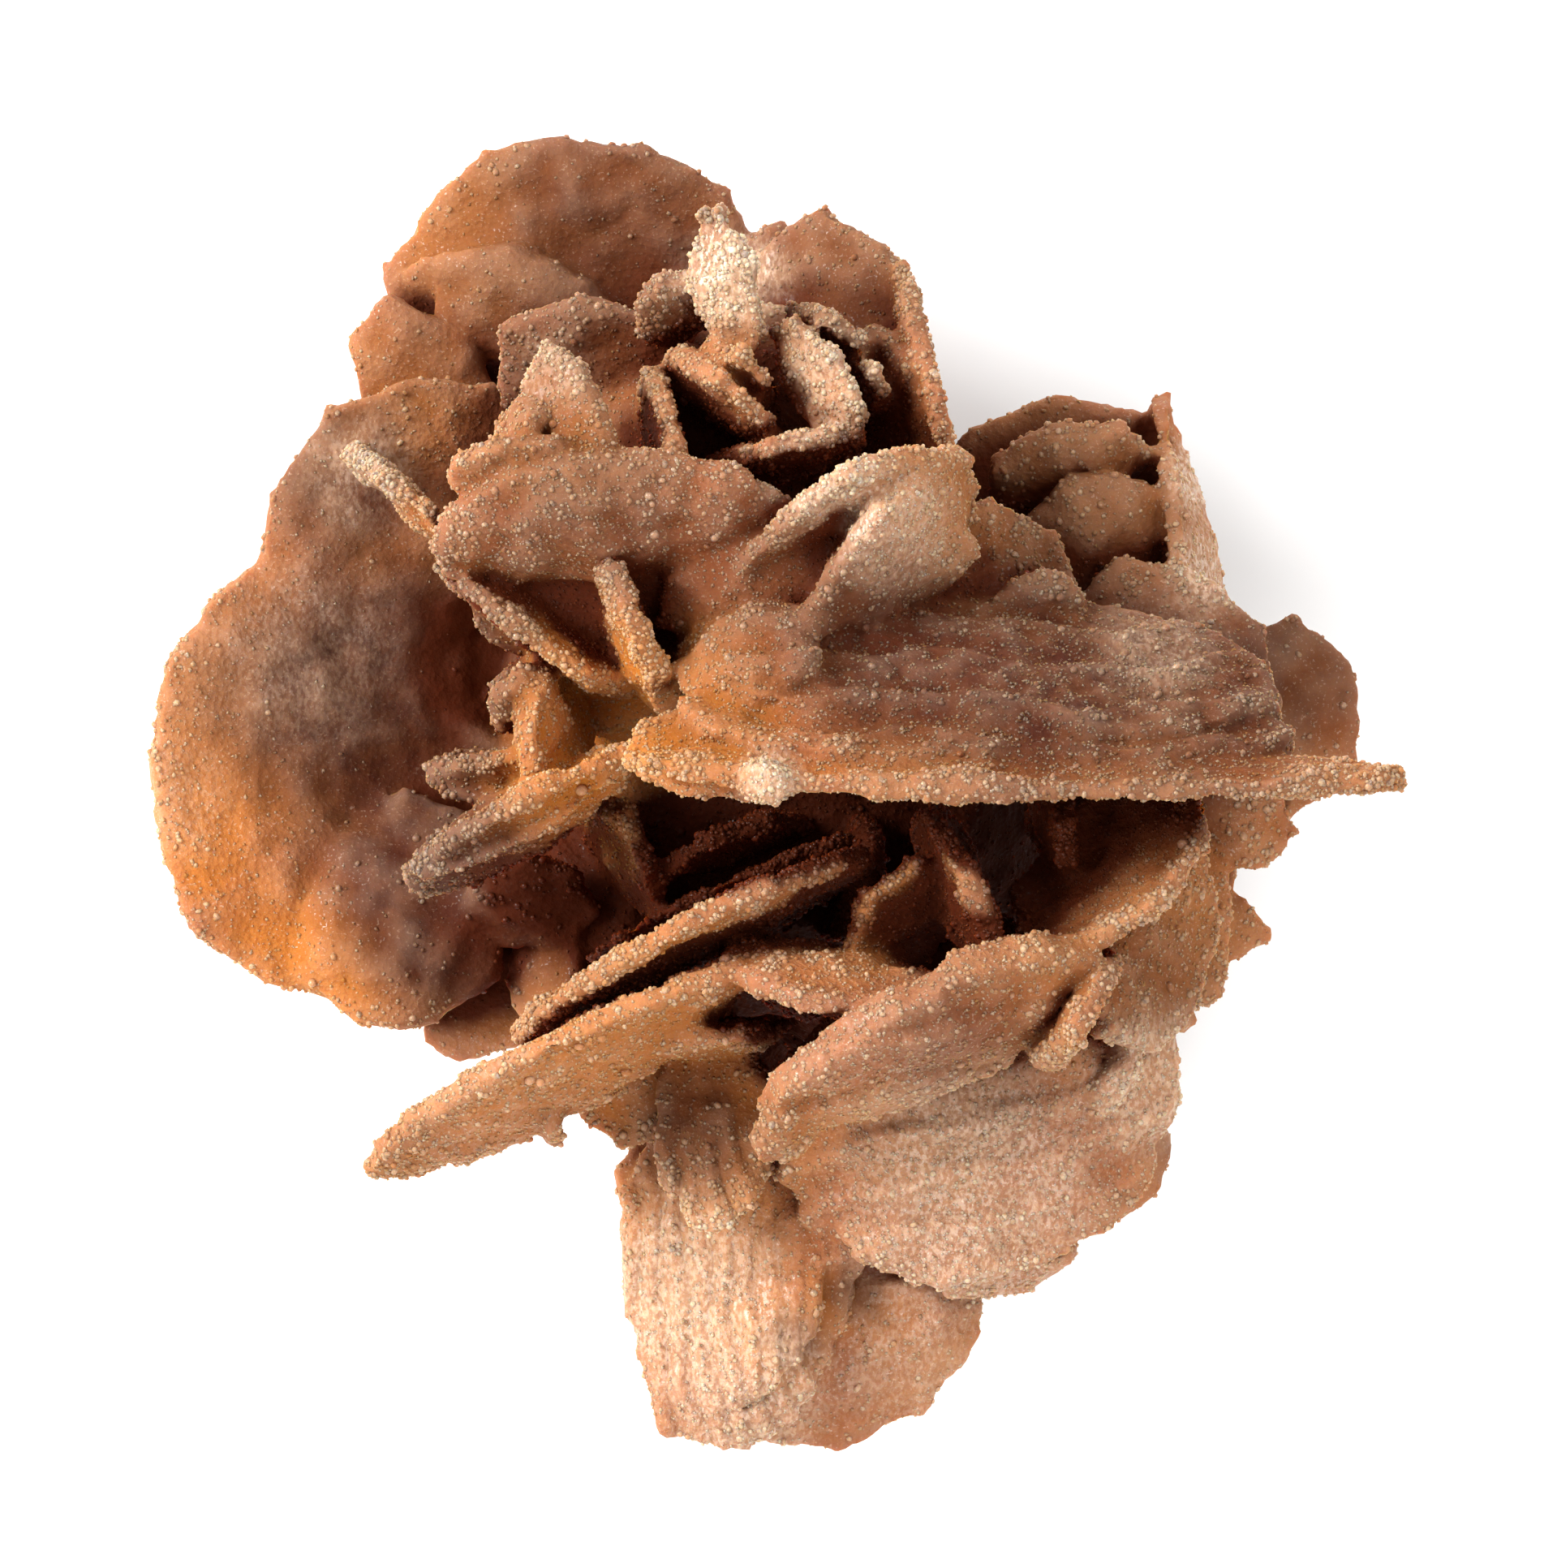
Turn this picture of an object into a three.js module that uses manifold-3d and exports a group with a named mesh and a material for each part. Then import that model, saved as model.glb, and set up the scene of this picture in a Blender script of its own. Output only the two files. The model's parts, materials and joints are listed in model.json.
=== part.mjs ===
// A gypsum sand rose: one natural cluster of lens-shaped gypsum crystals that grew through one another.
// Millimetres, +Z up. The rose lies on its back with its open face up: +X is its right, +Y its top edge.
import * as THREE from "three";
import { mergeVertices } from "three/addons/utils/BufferGeometryUtils.js";
import Module from "manifold-3d";

const wasm = await Module();
wasm.setup();

// Driving dimensions.
const RIM_THICKNESS = 1.1; // how blunt a crystal's edge is
const THICK_LENS = 3.1; // a thicker crystal bulges at a shoulder, a thinner one is a plain wedge
const SHOULDER = 0.62; // where the lens starts to thin out, as a share of its radius
const SHOULDER_THICKNESS = 0.8; // the thickness there, as a share of the middle's
const RAGGED = 0.035; // how far an outline strays from its ellipse, as a share of its radius
const WARP = 0.05; // how far a crystal is twisted out of its plane, as a share of its short radius
const FACET_LENGTH = 5.5; // the outline's step length aimed at
const FEWEST_SIDES = 7;
const MOST_SIDES = 18;
const GOLDEN_ANGLE = Math.PI * (3 - Math.sqrt(5)); // spreads the outlines' phases evenly
const GROUND = 0; // the height at which the lowest crystals are worn flat

// Each crystal: its middle, the vector to the end of its long axis, the vector to the end of its short
// axis, and its thickness. point narrows the ends of the long axis, cup dishes the face by that much, and
// rim is how blunt its own edge is.
const crown = {
  top_plate: {
    at: [-12.3, 30.6, 14], long: [12, -2.2, 0], short: [1.6, 10.6, 4], thick: 5.5, cup: 1.5,
  },
  top_backer: { at: [-14, 31, 9.5], long: [8.5, 0, 0], short: [-2, 9, 3], thick: 4 },
  top_bridge: { at: [-0.6, 28.6, 15], long: [6, -1, 0], short: [0.5, 6.6, 2.5], thick: 4 },
  top_scale: { at: [-16, 30, 16.4], long: [6.2, -1.6, 0], short: [0.6, 3.6, 1.8], thick: 3.2 },
  right_wall: { at: [3.7, 26.4, 21], long: [6, -3, 5], short: [1.2, 8.6, 2], thick: 5, cup: 1 },
  right_wall_rim: { at: [8.4, 25.6, 26], long: [1.6, -7.6, 3], short: [1, 0, 7], thick: 2.4 },
  inner_plate: {
    at: [-11, 25.6, 24.5], long: [7, -0.8, 0], short: [0.3, 4.6, 3], thick: 3.4, cup: 0.6,
  },
  left_pocket: { at: [-21.8, 24.2, 15.5], long: [5.6, -1.6, 0], short: [-1.6, 6.4, 1.5], thick: 3.6 },
  great_spike: {
    at: [-3, 30.4, 33], long: [1.3, -5.1, -0.5], short: [2, 0.5, 1.2], thick: 2, point: 0.45,
  },
  great_spike_lobe: { at: [-6.4, 29.2, 29.5], long: [2.6, 0.6, 0], short: [-0.3, 1.8, 2.5], thick: 2 },
  glitter_blade: {
    at: [2.5, 24.5, 33], long: [2.3, -4, 0.5], short: [1.7, 1.1, 2], thick: 2, point: 0.35,
  },
  glitter_backer: { at: [3.2, 27.4, 27.5], long: [3, -1.1, 0], short: [0.2, 0.6, 6], thick: 1.5 },
  glitter_shard: { at: [5.4, 24.6, 29], long: [0.9, -1.8, 0], short: [0.4, 0.2, 5], thick: 1.5 },
  left_spike: {
    at: [-12.7, 20.8, 36], long: [-1.5, 6.4, -0.6], short: [2.8, 0.6, 2], thick: 2.4, point: 0.6,
  },
  left_spike_lobe: { at: [-15.8, 21, 35], long: [0.6, 2.4, 0], short: [1.2, 0, 3], thick: 1.8 },
  middle_spike: {
    at: [-7.4, 20.8, 30], long: [-0.3, 4.8, 1], short: [1.2, 0, 7.5], thick: 2, point: 0.6,
  },
  slant_spike: {
    at: [-3.4, 23.3, 30], long: [3.7, -2.8, 0], short: [0.8, 0.9, 6.5], thick: 2.2, point: 0.4,
  },
  slant_sliver: { at: [-2.4, 25.1, 29], long: [2.3, -1.7, 0], short: [0.3, 0.4, 7], thick: 1.5 },
  pocket_floor: { at: [0.4, 19.9, 30], long: [5.2, 1, 0], short: [0, 1, 6], thick: 1.9, point: 0.3 },
  crown_core: { at: [-3, 22.5, 23], long: [11.5, 1, 0], short: [0, 7.5, 1], thick: 8.5 },
  right_fold: { at: [6.8, 23.8, 27], long: [1.6, -5, 1], short: [2, 0.8, 5], thick: 3 },
};

const ridge = {
  left_lip: {
    at: [-10.5, 16.2, 35.5], long: [11, 0.8, 0], short: [0.4, 3.8, 3.6], thick: 4.8, point: 0.2,
  },
  left_lip_step: { at: [-16, 19, 37], long: [4.2, 0.3, 0], short: [0, 1.9, 1.6], thick: 2.2 },
  left_lip_under: { at: [-12, 11.8, 30], long: [8, -1, 0], short: [0.3, 4.6, 3], thick: 4 },
  right_lip: { at: [4, 16.2, 35], long: [7, 3.6, 1], short: [-1, 1.6, 7], thick: 3, point: 0.3 },
  right_cheek: { at: [7.2, 14.2, 34], long: [4.6, 6.2, 0], short: [-2.4, 1.6, 7], thick: 4.6, point: 0.25 },
  ridge_skirt: { at: [2.2, 12.8, 33], long: [10, 1.6, 0], short: [0.3, 4.2, 2.6], thick: 6 },
};

const leftFan = {
  left_lobe: {
    at: [-26.3, 0.8, 15.5], long: [-1.2, 15.2, 0], short: [-13.5, -0.5, 5], thick: 5.6, cup: 2.2,
  },
  left_shoulder: { at: [-24, 16, 17], long: [6, 9.4, 1], short: [-7.2, 3.8, 3], thick: 5.5, cup: 1 },
  lower_overlay: {
    at: [-23.8, -8, 19], long: [7, 1.2, 0], short: [1, -7.6, 1.5], thick: 3.6, cup: 0.8,
  },
  sandy_ridge: { at: [-23.2, 18, 26], long: [4, -3.4, 3], short: [0, 0, 6], thick: 1.8 },
  fan_backer: { at: [-17.8, -13.4, 15], long: [4.6, 1, 0], short: [-1.5, -4.4, 0], thick: 3 },
  fan_leaf: { at: [-14.5, -12, 19], long: [0.3, 4, 0], short: [2.6, 0, 1.5], thick: 2 },
  fan_chip: { at: [-15.5, -7.3, 21], long: [4.4, -0.5, 0], short: [0.5, 3, 1.6], thick: 2 },
  fan_core: { at: [-9.5, -8.5, 18], long: [6, -3, 0], short: [2, 5, 0], thick: 5 },
  hollow_leaf_1: { at: [-3.2, -4, 25], long: [5, 2, 0], short: [0, 0.8, 6], thick: 2 },
  hollow_leaf_2: { at: [4.6, -6, 25], long: [1, 4, 0], short: [1.2, 0, 6], thick: 2 },
  hollow_leaf_3: { at: [-9.4, -4.6, 24], long: [-2, 3.6, 0], short: [1.2, 0.8, 6], thick: 2 },
  hollow_leaf_4: { at: [-0.6, -11.4, 25], long: [3, -3, 0], short: [0.8, 0.8, 6], thick: 2 },
};

const star = {
  upper_arm: { at: [-14.8, 11.2, 30], long: [6, -4.9, 0], short: [-1.7, -1.9, 5.5], thick: 2.1 },
  upper_arm_mate: { at: [-9.2, 9.6, 31.5], long: [1.9, -5, 0], short: [0.8, 0.3, 8], thick: 2.1 },
  upright_arm: { at: [-13.7, 2.8, 30], long: [0.3, -4.6, 0.5], short: [-1.7, 0, 6], thick: 2.1 },
  left_barb: {
    at: [-17.4, 0.4, 28], long: [-4.4, 0.2, 0], short: [0.4, 1.6, 4], thick: 1.7, point: 0.6,
  },
  left_barb_mate: { at: [-15.4, 5.6, 29], long: [-2.2, -2, 0], short: [-0.6, 0.9, 5], thick: 1.6 },
  long_arm: {
    at: [-15.8, -2.3, 31], long: [7.4, 4.2, 2.6], short: [0.8, -1.4, -6], thick: 2.3, point: 0.4,
  },
  honey_wall: { at: [-11.4, 6, 26], long: [4.4, -1.6, 0], short: [0.8, 2.6, 4], thick: 2 },
  honey_wall_mate: { at: [-6, 8.6, 29], long: [1.2, 4.6, 0], short: [1.2, 0, 6], thick: 2 },
};

const bar = {
  front_bar: {
    at: [13, 6.2, 34.6], long: [17.5, -0.3, -1.5], short: [-0.3, 4.4, -5.6],
    thick: 5, point: -0.3, rim: 2.4,
  },
  front_bar_lamina: {
    at: [12.6, 3, 38.4], long: [18.6, -0.6, -1.5], short: [0, 2.6, -3.6], thick: 3.4, point: -0.3, rim: 2,
  },
  front_bar_lip: {
    at: [14.4, 0.8, 41], long: [22.9, -0.5, -1.5], short: [0, 1.2, -3.4], thick: 1.9, point: 0.1,
  },
  front_bar_heel: {
    at: [-2.6, 2, 38.6], long: [7, -0.6, 0], short: [1.4, 3, -3.4], thick: 2.8, point: 0.2,
  },
  front_bar_lobe: { at: [-1.8, 7.6, 37], long: [4.2, 2.2, 0], short: [-1.6, 2.6, -3], thick: 3.8 },
  round_plate: { at: [13.5, 11.4, 29], long: [-0.5, 6.3, -1], short: [5.4, 0.3, -1], thick: 2.8 },
  round_plate_rim: { at: [16, 11, 31.5], long: [2.9, 0.2, 0], short: [0, 2, 0.6], thick: 1.8 },
  bar_backer: { at: [23.6, 6.4, 26], long: [7.4, -1.8, 0], short: [1.5, 7.4, -1], thick: 4.2 },
};

const block = {
  scalloped_back: { at: [17.6, 18.8, 15], long: [7.8, 0.5, 0], short: [-0.3, 5.8, 1.5], thick: 3.4 },
  folded_leaf: { at: [18.2, 19.8, 20.5], long: [5.4, 1, 0], short: [0, 2.4, 3.4], thick: 3.4 },
  block_step: { at: [19.4, 14.8, 21.5], long: [6, 1.2, 0], short: [0, 4.6, 2], thick: 5 },
  block_wall: { at: [25.8, 15.8, 17.5], long: [1.6, -9, 2], short: [1.3, 0.3, -7], thick: 3 },
  far_plate: { at: [31.2, 4, 17], long: [1.5, 6.6, 0], short: [5.6, -1.5, 0], thick: 3.8 },
  far_chip: { at: [28, -2.4, 20], long: [4.6, -0.6, 0], short: [0.4, 3.2, 0], thick: 3.2 },
  far_barb: { at: [26, -8.2, 15.6], long: [5, -1.6, 0], short: [0.7, 2.6, 0], thick: 2.8 },
};

const lowerFan = {
  long_blade: {
    at: [-13, -17.4, 32.5], long: [12, 6.3, 2], short: [-1, 2.2, 6], thick: 3.2, point: 0.3,
  },
  long_blade_mate: {
    at: [-5.6, -9.7, 31.5], long: [11, 5.7, 1], short: [-0.4, 0.8, 8], thick: 2.3, point: 0.2,
  },
  cross_sliver: { at: [-5.2, -15.8, 29], long: [5, 0.2, 0], short: [0, 0.6, 6], thick: 1.6 },
  hanging_leaf: { at: [-4, -20.6, 26.5], long: [-0.3, -7, 1], short: [3.8, -0.5, 1], thick: 2.4 },
  hanging_leaf_mate: { at: [-9, -17.8, 24], long: [5, 0.5, 0], short: [0.5, -4.8, -1], thick: 2.6 },
  hanging_barb: { at: [-14.2, -19.6, 28], long: [0.3, -2.8, 0], short: [0.6, 0.2, 4], thick: 1.5 },
  lit_shelf: { at: [3.4, -11.8, 35], long: [7.2, -1, 0.5], short: [0.4, 1.4, -5], thick: 2.8 },
  lit_blade: {
    at: [9, -15, 37], long: [10.4, 5.2, 1], short: [-1.4, 2.6, 4.4], thick: 4, point: 0.1, rim: 1.8,
  },
  lit_blade_chip: { at: [0.8, -20.8, 34.5], long: [2, 1.2, 0], short: [0, 1.4, 2], thick: 1.6 },
  sail: { at: [7.8, -8.4, 32.5], long: [3.4, 3.4, 1], short: [-1.8, 2.2, 3], thick: 1.7 },
  sail_mast: {
    at: [10.9, -6.8, 33], long: [2.3, -5.6, 0.5], short: [1.2, 0.6, 6], thick: 1.8, point: 0.4,
  },
  right_scoop: {
    at: [20.6, -5.4, 33], long: [5.6, 5, 0], short: [-2.2, 2.6, -5.5], thick: 2.4, cup: 1.4,
  },
  right_scoop_rim: { at: [18, -13.4, 35], long: [2.6, 3.2, 0.5], short: [0.4, -0.3, 6], thick: 1.6 },
  shadow_fin: { at: [17, -3, 29], long: [0.5, -3, 0], short: [0.6, 0, 6], thick: 1.6 },
};

const apron = {
  outer_leaf_1: { at: [22, -7.6, 28], long: [1, -9, 0.6], short: [5, 0.5, -4.5], thick: 2.2 },
  outer_leaf_2: { at: [23.2, -7, 23.5], long: [1, -8.6, 0], short: [5, 0.4, -3.6], thick: 2.2 },
  outer_leaf_3: { at: [23.6, -5.4, 18.5], long: [0.8, -8, 0], short: [5.6, 0.4, -2.6], thick: 2.2 },
  apron_plate: {
    at: [12.4, -19.6, 25.5], long: [12.6, 3, 0], short: [1.6, -10.6, -3], thick: 7, cup: -1,
  },
  apron_tongue: { at: [15.6, -25.6, 23], long: [6, 4, 0], short: [1.6, -5, -2.5], thick: 5 },
  tail_left: {
    at: [-2.4, -29.6, 21], long: [-0.4, -12, -1.5], short: [7.6, 0.4, 2], thick: 5, cup: 0.6,
  },
  tail_right: { at: [4.6, -33, 18.5], long: [8.4, 4.2, 0], short: [2, -8.6, -1.5], thick: 5 },
  tail_ear: { at: [-7.4, -25, 18.5], long: [-2.8, 0.6, 0], short: [0, -2.8, 0], thick: 2.6 },
  back_chip: { at: [21.5, -24, 12.5], long: [0.4, -3.8, 0], short: [3.6, 0.6, 0], thick: 3.2 },
};

// The side the rose lies on: steep crystals under the outer plates, worn where they stand.
const underside = {
  back_left: { at: [-18, 4, 7.5], long: [-7, 6, 1], short: [1, 2, -8.5], thick: 5 },
  back_left_low: { at: [-17, -7, 8], long: [-9, -3, 1], short: [-1, -2, -9], thick: 4.5 },
  back_top: { at: [-8, 22, 8], long: [9, 4, 0], short: [1, -2, -9.5], thick: 5 },
  back_top_right: { at: [5, 19, 9], long: [4, 9, 1], short: [3, -1, -10], thick: 4.5 },
  back_right: { at: [18, 8, 9], long: [9, 4, 0], short: [1, -2, -10], thick: 5 },
  back_right_low: { at: [20, -8, 8.5], long: [6, -8, 1], short: [2, 1, -9.5], thick: 4.5 },
  back_low: { at: [9, -19, 9], long: [11, -6, 1], short: [-1, -2, -10], thick: 5 },
  back_low_cross: { at: [-3, -20, 10], long: [-2, -9, 2], short: [3, 0, -9], thick: 4 },
  back_middle: { at: [1, 0, 7], long: [12, 5, 0], short: [1, -3, -8], thick: 5.5 },
  back_middle_cross: { at: [2, 1, 8], long: [-4, 12, 0], short: [4, 1, -8], thick: 5 },
};

// The intergrown middle, where all the crystals meet.
const heart = { at: [2, 2, 14.5], long: [19.5, 0, 0], short: [0, 17, 0], thick: 21 };

const crystals = {
  heart,
  ...underside,
  ...leftFan,
  ...crown,
  ...block,
  ...apron,
  ...lowerFan,
  ...star,
  ...ridge,
  ...bar,
};

// The outline's ellipse with narrowed ends and a ragged edge, as shares of the long and short axes.
function outlinePoint(angle, point, phase) {
  const broad = Math.sin(3 * angle + phase);
  const middling = 0.7 * Math.sin(5 * angle + 2 * phase);
  const fine = 0.5 * Math.sin(8 * angle + 3 * phase);
  const stray = broad + middling + fine;
  const radius = 1 + RAGGED * stray;
  const along = Math.cos(angle);
  return [radius * along, radius * Math.sin(angle) * (1 - point * along * along)];
}

// One lens-shaped crystal as a closed mesh of rings between two poles.
function crystalGeometry({ at, long, short, thick, point = 0, cup = 0, rim = RIM_THICKNESS }, index) {
  const middle = new THREE.Vector3(...at);
  const longAxis = new THREE.Vector3(...long);
  const shortAxis = new THREE.Vector3(...short);
  const normal = new THREE.Vector3().crossVectors(longAxis, shortAxis).normalize();
  const phase = index * GOLDEN_ANGLE;
  const outlineLength = Math.PI * (longAxis.length() + shortAxis.length());
  const sides = THREE.MathUtils.clamp(Math.round(outlineLength / FACET_LENGTH), FEWEST_SIDES, MOST_SIDES);
  const rings = [
    { share: 1, height: rim / 2 },
    { share: 1, height: -rim / 2 },
  ];
  if (thick > THICK_LENS) {
    rings.unshift({ share: SHOULDER, height: (SHOULDER_THICKNESS * thick) / 2 });
    rings.push({ share: SHOULDER, height: (-SHOULDER_THICKNESS * thick) / 2 });
  }
  const positions = [];
  const place = (a, b, height, angle) => {
    const share = a * a + b * b;
    const lift = cup * (share - 0.5) + WARP * shortAxis.length() * share * Math.sin(2 * angle + phase);
    const p = middle.clone().addScaledVector(longAxis, a).addScaledVector(shortAxis, b);
    positions.push(...p.addScaledVector(normal, height + lift).toArray());
  };
  place(0, 0, thick / 2, 0);
  for (const { share, height } of rings) {
    for (let i = 0; i < sides; i++) {
      const angle = (2 * Math.PI * i) / sides;
      const [a, b] = outlinePoint(angle, point, phase);
      place(share * a, share * b, height, angle);
    }
  }
  place(0, 0, -thick / 2, 0);

  const faces = [];
  const lastPole = 1 + rings.length * sides;
  for (let i = 0; i < sides; i++) {
    const next = (i + 1) % sides;
    faces.push(0, 1 + i, 1 + next);
    for (let ring = 0; ring < rings.length - 1; ring++) {
      const upper = 1 + ring * sides;
      const lower = upper + sides;
      faces.push(upper + i, lower + i, lower + next, upper + i, lower + next, upper + next);
    }
    faces.push(lastPole, lastPole - sides + next, lastPole - sides + i);
  }
  const geometry = new THREE.BufferGeometry();
  geometry.setAttribute("position", new THREE.Float32BufferAttribute(positions, 3));
  geometry.setIndex(faces);
  return geometry;
}

function toSolid(geometry) {
  const bare = geometry.clone();
  bare.deleteAttribute("normal");
  bare.deleteAttribute("uv");
  const merged = mergeVertices(bare);
  return new wasm.Manifold(
    new wasm.Mesh({
      numProp: 3,
      vertProperties: new Float32Array(merged.attributes.position.array),
      triVerts: new Uint32Array(merged.index.array),
    }),
  );
}

function toGeometry(solid) {
  const { vertProperties, triVerts } = solid.getMesh();
  const geometry = new THREE.BufferGeometry();
  geometry.setAttribute("position", new THREE.Float32BufferAttribute(vertProperties, 3));
  geometry.setIndex(new THREE.BufferAttribute(triVerts, 1));
  return geometry;
}

// Everything under the ground plane, to wear the lowest crystals flat.
function groundSolid() {
  const side = 200;
  const box = new THREE.BoxGeometry(side, side, side);
  box.translate(0, 0, GROUND - side / 2);
  return toSolid(box);
}

function growRose() {
  const grown = Object.values(crystals).map(crystalGeometry);
  const solids = grown.map(toSolid);
  const cluster = solids.reduce((joined, crystal) => joined.add(crystal));
  return cluster.subtract(groundSolid());
}

// Puts the origin at the middle of the footprint's box, on the ground.
function onOrigin(geometry) {
  geometry.computeBoundingBox();
  const middle = geometry.boundingBox.getCenter(new THREE.Vector3());
  return geometry.translate(-middle.x, -middle.y, -geometry.boundingBox.min.z);
}

const gypsum = new THREE.MeshStandardMaterial({ color: 0xb98562, roughness: 0.75, metalness: 0 });
const rose = new THREE.Mesh(onOrigin(toGeometry(growRose())), gypsum);
rose.name = "rose";

const part = new THREE.Group();
part.add(rose);
export default part;
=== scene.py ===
"""Looks of the gypsum sand rose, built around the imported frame. Metres, +Z up, the open face up."""

import json
import math

import bpy
import numpy as np
from bpy.props import FloatProperty, FloatVectorProperty, IntProperty, PointerProperty
from bpy.types import Operator, Panel, PropertyGroup
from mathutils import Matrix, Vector
from mathutils.bvhtree import BVHTree

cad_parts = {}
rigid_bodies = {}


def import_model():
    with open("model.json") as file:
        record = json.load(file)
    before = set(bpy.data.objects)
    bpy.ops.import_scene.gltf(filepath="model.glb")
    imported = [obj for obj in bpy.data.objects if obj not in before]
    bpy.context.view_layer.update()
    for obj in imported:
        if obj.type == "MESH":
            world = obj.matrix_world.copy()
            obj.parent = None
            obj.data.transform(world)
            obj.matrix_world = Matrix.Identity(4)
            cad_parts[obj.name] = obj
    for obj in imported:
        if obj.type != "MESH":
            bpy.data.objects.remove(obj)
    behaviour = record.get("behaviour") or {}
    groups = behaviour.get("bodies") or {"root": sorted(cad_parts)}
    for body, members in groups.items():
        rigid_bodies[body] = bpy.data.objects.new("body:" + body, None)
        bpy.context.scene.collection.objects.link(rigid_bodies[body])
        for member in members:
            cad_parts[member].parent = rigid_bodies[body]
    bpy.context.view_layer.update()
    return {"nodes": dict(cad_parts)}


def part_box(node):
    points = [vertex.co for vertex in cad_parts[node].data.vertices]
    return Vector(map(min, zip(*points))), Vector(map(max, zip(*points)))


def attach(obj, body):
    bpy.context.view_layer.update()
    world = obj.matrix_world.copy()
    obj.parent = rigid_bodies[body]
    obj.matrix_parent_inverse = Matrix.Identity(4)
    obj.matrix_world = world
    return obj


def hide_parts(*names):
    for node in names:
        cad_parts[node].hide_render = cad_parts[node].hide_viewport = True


bl_info = {
    "name": "Gypsum sand rose",
    "version": (1, 0, 0),
    "blender": (4, 5, 0),
    "location": "View3D > Sidebar > Sand rose",
    "description": "Gives the packed sand rose its worn crystals, sand grains, colours and stage",
    "category": "Object",
}

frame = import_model()
LOW, HIGH = (Vector(corner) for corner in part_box("rose"))
HEIGHT = HIGH.z - LOW.z

BODY = "root"
CLUSTER = "rose_crystals"
MM = 0.001
# What each place on the stone knows about itself: how thin, covered and rim-like it is, its four marks (the
# plates' mauve with painted shade, painted glow, painted deep shade and real dust), and the shade of its
# grain.
SURVEY = ("thin", "hidden", "rim", "plate_and_shade", "glow", "deep", "dust", "shade")

# Broad marks of the open face, in mm from the middle of the box: (x, y, radius, strength). They are the mauve
# middles of the thick plates with painted shade where they lie in shadow, the painted glow of the amber
# blades that light comes through, the painted shade of the deep hollows, and the real dust of the dusty
# faces.
STAINS_SHADE_AND_GLOW = {
    # The thick plates' own mauve middles, and painted shade where plates and creases lie in shadow under the
    # blades and edges.
    "plate_and_shade": (
        (-25, 6, 11, 1.0), (-20, 8, 7, 1.0), (-21, -4, 8, 1.0), (-10, 37, 10, 0.8), (-19, 30, 6, 0.5),
        (2, -34, 2.6, 0.8), (5.5, -31, 2.6, 0.8), (4, 32, 7, 0.7), (-10, 29, 6, 0.45), (8, 8, 7, 1.0),
        (17, 7, 9, 1.0), (27, 6, 8, 0.9), (20, 18, 8, 0.5), (34, 8, 6, 0.8), (1, 13, 7, 0.6),
        (-11, 17, 8, 0.7), (10, -12, 4, 0.25), (28, -22, 4, 0.7), (-20, -8, 7, 1.0), (-27, 20, 6, 0.6),
        (-4, -20, 5, 0.8), (24, -12, 5, 0.5), (13, -17, 6, 0.5), (-12, -22, 5, 0.3), (-14, 25, 4, 0.4),
        (-23, 25, 4, 0.4), (-27, 20, 5, 0.5), (-4, -22, 5, 0.5), (-3, 5, 5, 0.4), (-15, -8, 6, 0.7),
    ),
    # Painted glow: spots where light coming through the thin blades is put into their colour as amber.
    "glow": (
        (-36, -2, 6, 0.9), (-29, -12, 7, 0.9), (-32, 14, 5, 0.35), (-12, 4, 9, 1.0), (-23, 24, 5, 0.5),
        (-4, 5, 6, 1.0), (-14, -19, 6, 0.6), (-4, -20, 5, 0.8), (-3, -25, 4, 0.9), (-9, -26, 3, 0.9),
        (0, -33, 3, 0.5), (-19, 34, 5, 0.2), (7, -7, 5, 0.7), (-12, 21, 4, 0.4), (1.5, -35, 2.6, 0.9),
        (4.5, -31.5, 2.6, 0.9), (8, -33, 3, 0.4), (-9, -10, 8, 0.5),
    ),
    # Painted shade: spots where the deepest hollows between the blades are darkened further.
    "deep": (
        (-17, 9, 5, 1.0), (-10, 11, 4, 1.0), (-17, 3, 4, 0.2), (-13, -5, 6, 0.8), (-4, -5, 6, 0.9),
        (4, -4, 5, 0.8), (9, -5, 6, 0.8), (16, -3, 6, 0.8), (-19, 8, 5, 0.8), (-5, 21, 3, 0.9),
        (-10, -11, 5, 0.6), (3, 17, 3, 0.5), (-18, -10, 4, 0.6), (16, 14, 4, 0.5),
    ),
    "dust": (
        (-2, 32, 4, 1.0), (4, 25, 4, 0.8), (4, 19, 4, 0.8), (8, 16, 4, 0.7), (28, 20, 3, 1.0),
        (28, 14, 3, 0.9), (-5, -31, 7, 1.0), (13, -25, 9, 0.8), (24, -18, 5, 0.9), (24, 9, 4, 0.3),
        (-29, 9, 7, 0.25), (-13, 26, 3, 0.4), (0.5, 1, 2, 1.0), (-25, 20, 4, 0.5), (-1, -38, 6, 0.8),
        (9, -36, 5, 0.5), (-16, -19, 6, 0.2), (6, -15, 6, 0.15), (-37, 0, 4, 0.3),
    ),
}

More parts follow.
